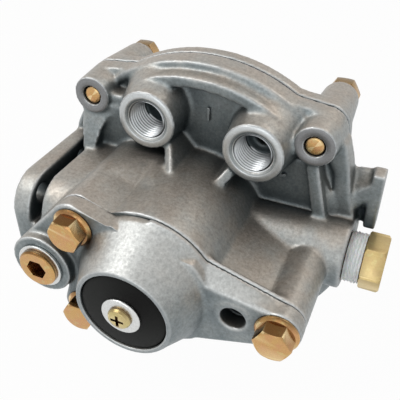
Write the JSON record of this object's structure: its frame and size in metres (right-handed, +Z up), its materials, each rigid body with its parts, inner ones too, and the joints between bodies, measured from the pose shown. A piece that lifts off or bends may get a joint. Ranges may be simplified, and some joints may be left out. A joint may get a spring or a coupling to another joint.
{
  "type": "emergency relay valve",
  "caption": "Cast aluminium air-brake relay valve with a domed cover, threaded ports, exhaust flap, hex bolts, plugs and a side mounting plate.",
  "frame": {"origin": "centre of the tank port's mouth on the mounting plate's outer face", "axes": "+X from the mounting plate towards the side plug, +Y along the valve's main axis from the exhaust to the relay cover, +Z up to the two control ports"},
  "size_m": [0.1479, 0.1209, 0.139],
  "materials": {
    "cast_aluminium": "satin as-cast",
    "piston_aluminium": "machined",
    "yellow_zinc": "yellow zinc plated",
    "brass_plug": "bright",
    "bright_steel": "bright zinc plated",
    "spring_steel": "plain",
    "rubber": "matte",
    "gasket": "fibre sheet",
    "thread_tape": "wrapped tape"
  },
  "bodies": {
    "housing": {"valve_body": "cast_aluminium", "exhaust_cover": "cast_aluminium", "relay_cover": "cast_aluminium", "relay_cover_gasket": "gasket", "exhaust_cover_seal": "rubber", "exhaust_flap": "rubber", "flap_washer": "bright_steel", "flap_screw": "yellow_zinc", "exhaust_cover_bolts": "yellow_zinc", "relay_cover_bolts": "yellow_zinc", "socket_plug": "yellow_zinc", "socket_plug_washer": "bright_steel", "check_valve_spring": "spring_steel", "side_plug": "brass_plug", "side_plug_tape": "thread_tape", "retaining_ring": "spring_steel", "valve_guide": "piston_aluminium", "valve_guide_seal": "rubber", "inlet_valve_spring": "spring_steel", "emergency_spring": "spring_steel"},
    "inlet_valve": {"inlet_exhaust_valve": "piston_aluminium", "inlet_valve_rubber": "rubber"},
    "relay_piston": {"relay_piston": "piston_aluminium", "relay_piston_seal": "rubber"},
    "emergency_piston": {"emergency_piston": "piston_aluminium", "emergency_piston_seal": "rubber"},
    "check_valve": {"check_valve": "piston_aluminium", "check_valve_face": "rubber"}
  },
  "joints": [
    {"name": "inlet_valve_slide", "type": "slide", "parent": "housing", "child": "inlet_valve", "axis": [0, -1, 0], "range_m": [0, 0.0025], "stiffness_N_per_m": 3000, "springref_m": -0.004, "deforming": ["inlet_valve_spring"]},
    {"name": "relay_piston_slide", "type": "slide", "parent": "inlet_valve", "child": "relay_piston", "axis": [0, -1, 0], "range_m": [0, 0.0023]},
    {"name": "emergency_piston_slide", "type": "slide", "parent": "housing", "child": "emergency_piston", "axis": [0, -1, 0], "range_m": [0, 0.004], "stiffness_N_per_m": 3000, "springref_m": -0.004, "deforming": ["emergency_spring"]},
    {"name": "check_valve_slide", "type": "slide", "parent": "housing", "child": "check_valve", "axis": [0, -1, 0], "range_m": [0, 0.0025], "stiffness_N_per_m": 500, "springref_m": -0.003, "deforming": ["check_valve_spring"]}
  ]
}
